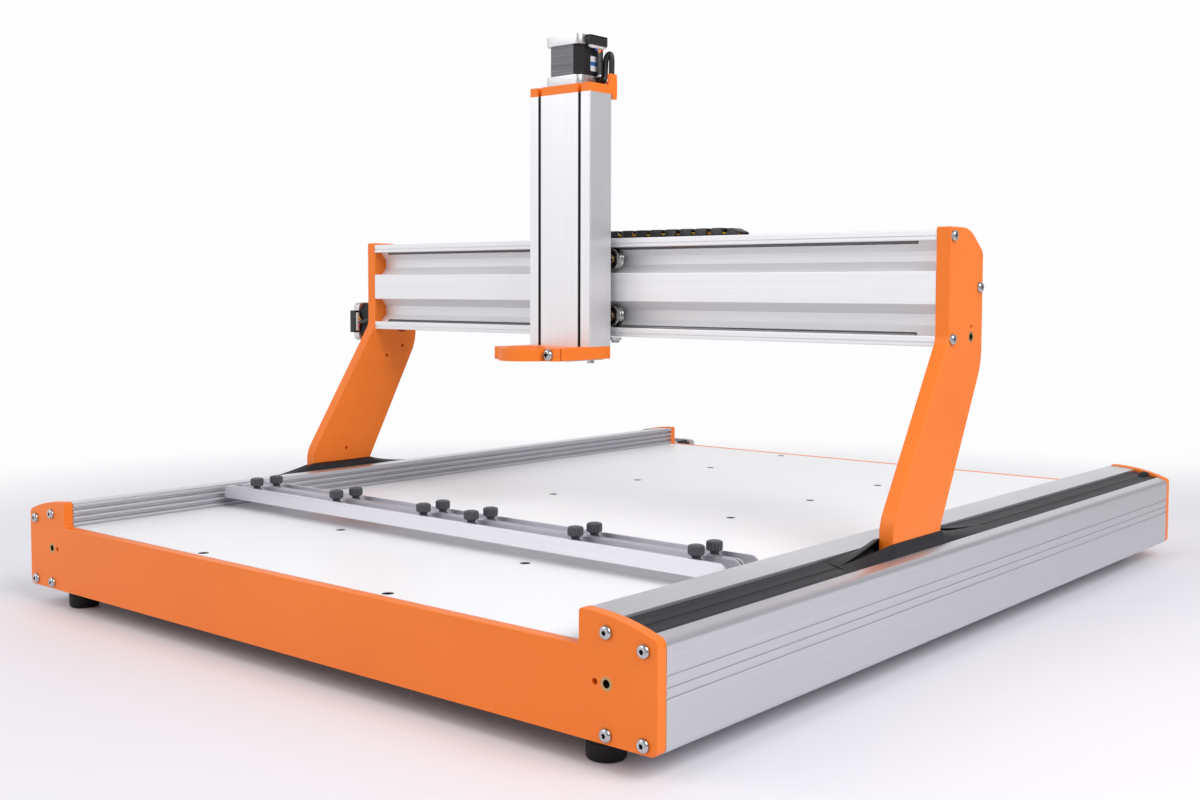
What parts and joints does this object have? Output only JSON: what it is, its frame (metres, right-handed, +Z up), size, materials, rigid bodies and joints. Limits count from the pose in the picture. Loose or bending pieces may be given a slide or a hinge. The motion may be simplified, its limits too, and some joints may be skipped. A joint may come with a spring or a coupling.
{
  "type": "cnc router",
  "caption": "Bench-top gantry router: slotted metal side profiles, leaning gantry legs, crossbeam with a sliding Z column and tool clamp, stepper drives.",
  "frame": {"origin": "centre of the frame's footprint, on the plane that the rubber feet stand on", "axes": "+Z up; +Y from the front end panel to the rear one, the way the gantry travels; +X to the right, along the gantry beam"},
  "size_m": [0.8795, 1.0973, 0.6065],
  "materials": {
    "powder_orange": "satin orange powder coat with a fine texture",
    "anodised_aluminium": "silver satin anodised, drawn along its length",
    "anodised_bar": "pale satin anodised",
    "machined_aluminium": "milled",
    "white_board": "white laminated board",
    "dark_lip": "matt dark rubber",
    "black_rubber": "matt black rubber",
    "black_plastic": "moulded, fine grain",
    "knob_black": "moulded black grip on a zinc-plated screw",
    "zinc_steel": "bright zinc plate",
    "black_steel": "black oxide",
    "hard_steel": "ground and polished",
    "roller_steel": "ground bearing steel",
    "bronze": "turned bronze",
    "motor_stator_steel": "dark laminated steel",
    "motor_cast": "die-cast, satin"
  },
  "bodies": {
    "frame": {"front_panel": "powder_orange", "rear_panel": "powder_orange", "panel_screws": "zinc_steel", "left_side_profile": "anodised_aluminium", "right_side_profile": "anodised_aluminium", "machine_bed": "white_board", "bed_crossbars": "machined_aluminium", "bed_screws": "black_steel", "rubber_feet": "black_rubber", "dust_lips": "dark_lip", "y_guide_rods": "hard_steel", "y_screw_bushes": "bronze", "y_motor_stators": "motor_stator_steel", "y_motor_end_caps": "motor_cast"},
    "left_y_screw": {"left_y_leadscrew": "hard_steel"},
    "right_y_screw": {"right_y_leadscrew": "hard_steel"},
    "front_bar": {"front_clamp_bar": "anodised_bar"},
    "rear_bar": {"rear_clamp_bar": "anodised_bar"},
    "front_bar_screws": {"front_thumbscrews": "knob_black"},
    "rear_bar_screws": {"rear_thumbscrews": "knob_black"},
    "gantry": {"left_gantry_leg": "powder_orange", "right_gantry_leg": "powder_orange", "gantry_beam": "anodised_aluminium", "beam_guide_rods": "hard_steel", "gantry_bolts": "zinc_steel", "y_lead_nuts": "bronze", "x_motor_stator": "motor_stator_steel", "x_motor_end_caps": "motor_cast", "x_motor_connector": "black_plastic", "x_screw_bush": "bronze", "chain_lower_run": "black_plastic"},
    "x_screw": {"x_leadscrew": "hard_steel"},
    "x_carriage": {"cross_slide_plate": "machined_aluminium", "carriage_bolts": "zinc_steel", "carriage_lead_nuts": "bronze", "x_nut_bracket": "machined_aluminium", "chain_bracket": "machined_aluminium", "chain_upper_run": "black_plastic", "z_glide_blocks": "black_plastic"},
    "chain_bend_upper": {"chain_loop_upper": "black_plastic"},
    "chain_bend_lower": {"chain_loop_lower": "black_plastic"},
    "z_column": {"z_profile": "anodised_aluminium", "z_guide_rods": "hard_steel", "z_top_plate": "powder_orange", "tool_clamp": "powder_orange", "clamp_cover_plate": "machined_aluminium", "tool_clamp_screws": "zinc_steel", "z_motor_stator": "motor_stator_steel", "z_motor_end_caps": "motor_cast", "z_motor_connector": "black_plastic", "z_motor_cable": "black_plastic"},
    "z_screw": {"z_leadscrew": "hard_steel"},
    "y_roller_pair_front_upper": {"y_rollers_front_upper": "roller_steel"},
    "y_roller_pair_front_lower": {"y_rollers_front_lower": "roller_steel"},
    "y_roller_pair_rear_upper": {"y_rollers_rear_upper": "roller_steel"},
    "y_roller_pair_rear_lower": {"y_rollers_rear_lower": "roller_steel"},
    "x_roller_left_upper": {"x_roller_left_upper": "roller_steel"},
    "x_roller_left_lower": {"x_roller_left_lower": "roller_steel"},
    "x_roller_right_upper": {"x_roller_right_upper": "roller_steel"},
    "x_roller_right_lower": {"x_roller_right_lower": "roller_steel"}
  },
  "joints": [
    {"name": "y_slide", "type": "slide", "parent": "frame", "child": "gantry", "axis": [0, 1, 0], "range_m": [-0.299, 0.541]},
    {"name": "x_slide", "type": "slide", "parent": "gantry", "child": "x_carriage", "axis": [1, 0, 0], "range_m": [-0.269, 0.331], "deforming": ["chain_upper_run", "chain_lower_run"]},
    {"name": "z_slide", "type": "slide", "parent": "x_carriage", "child": "z_column", "axis": [0, 0, 1], "range_m": [-0.125, 0.015]},
    {"name": "front_bar_slide", "type": "slide", "parent": "frame", "child": "front_bar", "axis": [0, 1, 0], "range_m": [-0.17, 0]},
    {"name": "rear_bar_slide", "type": "slide", "parent": "frame", "child": "rear_bar", "axis": [0, 1, 0], "range_m": [0, 0.75]},
    {"name": "front_thumbscrew_travel", "type": "slide", "parent": "front_bar", "child": "front_bar_screws", "axis": [0, 0, 1], "range_m": [-0.004, 0.004]},
    {"name": "rear_thumbscrew_travel", "type": "slide", "parent": "rear_bar", "child": "rear_bar_screws", "axis": [0, 0, 1], "range_m": [-0.004, 0.004]},
    {"name": "left_y_screw_turn", "type": "hinge", "parent": "frame", "child": "left_y_screw", "pos_m": [-0.3755, 0, 0.0618], "axis": [0, 1, 0], "continuous": true},
    {"name": "right_y_screw_turn", "type": "hinge", "parent": "frame", "child": "right_y_screw", "pos_m": [0.3755, 0, 0.0618], "axis": [0, 1, 0], "continuous": true},
    {"name": "x_screw_turn", "type": "hinge", "parent": "gantry", "child": "x_screw", "pos_m": [0, -0.0219, 0.2884], "axis": [1, 0, 0], "continuous": true},
    {"name": "z_screw_turn", "type": "hinge", "parent": "z_column", "child": "z_screw", "pos_m": [-0.0314, -0.0857, 0.4], "axis": [0, 0, 1], "continuous": true},
    {"name": "y_roller_pair_front_upper_turn", "type": "hinge", "parent": "gantry", "child": "y_roller_pair_front_upper", "pos_m": [0, -0.1512, 0.0802], "axis": [1, 0, 0], "continuous": true},
    {"name": "y_roller_pair_front_lower_turn", "type": "hinge", "parent": "gantry", "child": "y_roller_pair_front_lower", "pos_m": [0, -0.1512, 0.0438], "axis": [1, 0, 0], "continuous": true},
    {"name": "y_roller_pair_rear_upper_turn", "type": "hinge", "parent": "gantry", "child": "y_roller_pair_rear_upper", "pos_m": [0, -0.0912, 0.0802], "axis": [1, 0, 0], "continuous": true},
    {"name": "y_roller_pair_rear_lower_turn", "type": "hinge", "parent": "gantry", "child": "y_roller_pair_rear_lower", "pos_m": [0, -0.0912, 0.0438], "axis": [1, 0, 0], "continuous": true},
    {"name": "x_roller_left_upper_turn", "type": "hinge", "parent": "x_carriage", "child": "x_roller_left_upper", "pos_m": [-0.0641, -0.0625, 0.3652], "axis": [0, 1, 0], "continuous": true},
    {"name": "x_roller_left_lower_turn", "type": "hinge", "parent": "x_carriage", "child": "x_roller_left_lower", "pos_m": [-0.0641, -0.0625, 0.3028], "axis": [0, 1, 0], "continuous": true},
    {"name": "x_roller_right_upper_turn", "type": "hinge", "parent": "x_carriage", "child": "x_roller_right_upper", "pos_m": [0.0013, -0.0625, 0.3652], "axis": [0, 1, 0], "continuous": true},
    {"name": "x_roller_right_lower_turn", "type": "hinge", "parent": "x_carriage", "child": "x_roller_right_lower", "pos_m": [0.0013, -0.0625, 0.3028], "axis": [0, 1, 0], "continuous": true},
    {"name": "chain_bend_upper_slide", "type": "slide", "parent": "x_carriage", "child": "chain_bend_upper", "axis": [1, 0, 0], "range_m": [-0.17, 0.14]},
    {"name": "chain_bend_lower_slide", "type": "slide", "parent": "gantry", "child": "chain_bend_lower", "axis": [1, 0, 0], "range_m": [-0.14, 0.17]}
  ],
  "couplings": [
    {"joint": "left_y_screw_turn", "follows": "y_slide", "rad_per_m": -1570.8},
    {"joint": "right_y_screw_turn", "follows": "y_slide", "rad_per_m": -1570.8},
    {"joint": "x_screw_turn", "follows": "x_slide", "rad_per_m": -1570.8},
    {"joint": "z_screw_turn", "follows": "z_slide", "rad_per_m": 1570.8},
    {"joint": "chain_bend_upper_slide", "follows": "x_slide", "ratio": -0.5},
    {"joint": "chain_bend_lower_slide", "follows": "x_slide", "ratio": 0.5},
    {"joint": "y_roller_pair_front_upper_turn", "follows": "y_slide", "rad_per_m": 142.86},
    {"joint": "y_roller_pair_front_lower_turn", "follows": "y_slide", "rad_per_m": -142.86},
    {"joint": "y_roller_pair_rear_upper_turn", "follows": "y_slide", "rad_per_m": 142.86},
    {"joint": "y_roller_pair_rear_lower_turn", "follows": "y_slide", "rad_per_m": -142.86},
    {"joint": "x_roller_left_upper_turn", "follows": "x_slide", "rad_per_m": -105.26},
    {"joint": "x_roller_left_lower_turn", "follows": "x_slide", "rad_per_m": 105.26},
    {"joint": "x_roller_right_upper_turn", "follows": "x_slide", "rad_per_m": -105.26},
    {"joint": "x_roller_right_lower_turn", "follows": "x_slide", "rad_per_m": 105.26}
  ]
}
